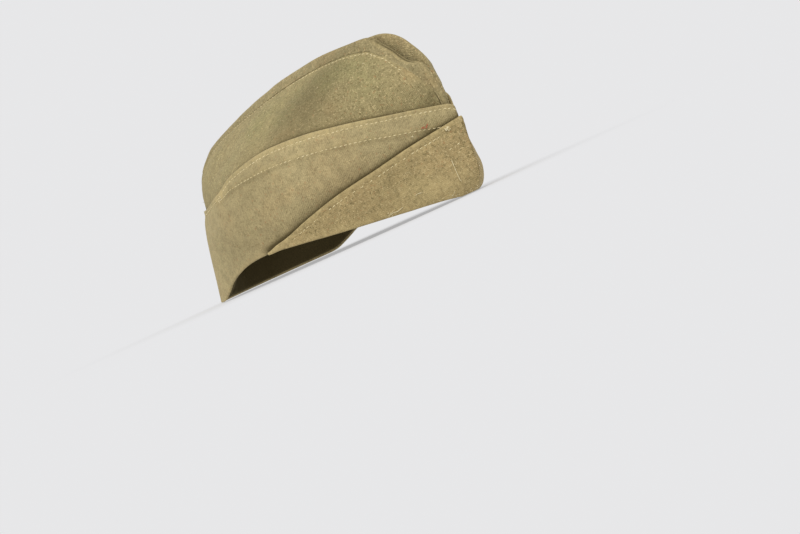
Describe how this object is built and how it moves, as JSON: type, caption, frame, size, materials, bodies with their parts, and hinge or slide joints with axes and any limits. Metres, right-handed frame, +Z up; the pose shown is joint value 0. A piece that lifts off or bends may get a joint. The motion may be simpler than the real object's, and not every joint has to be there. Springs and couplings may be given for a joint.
{
  "type": "garrison cap",
  "caption": "Soft wool garrison cap with a cleft top, a turned-up double-stitched curtain and a front flap, open below for a head.",
  "frame": {"origin": "middle of the cap's footprint on the surface that it rests on", "axes": "+Z up, -Y toward the front crease, -X toward the wearer's right side"},
  "size_m": [0.1588, 0.2424, 0.1183],
  "materials": {
    "crown_wool": "brushed wool, olive drab",
    "gusset_wool": "brushed wool, olive drab",
    "curtain_wool": "brushed wool, olive drab",
    "flap_wool": "brushed wool, worn and a little browner"
  },
  "bodies": {
    "root": {"crown_side_right": "crown_wool", "crown_side_left": "crown_wool", "top_gusset": "gusset_wool", "curtain_right": "curtain_wool", "curtain_left": "curtain_wool", "front_flap": "flap_wool"}
  },
  "joints": []
}
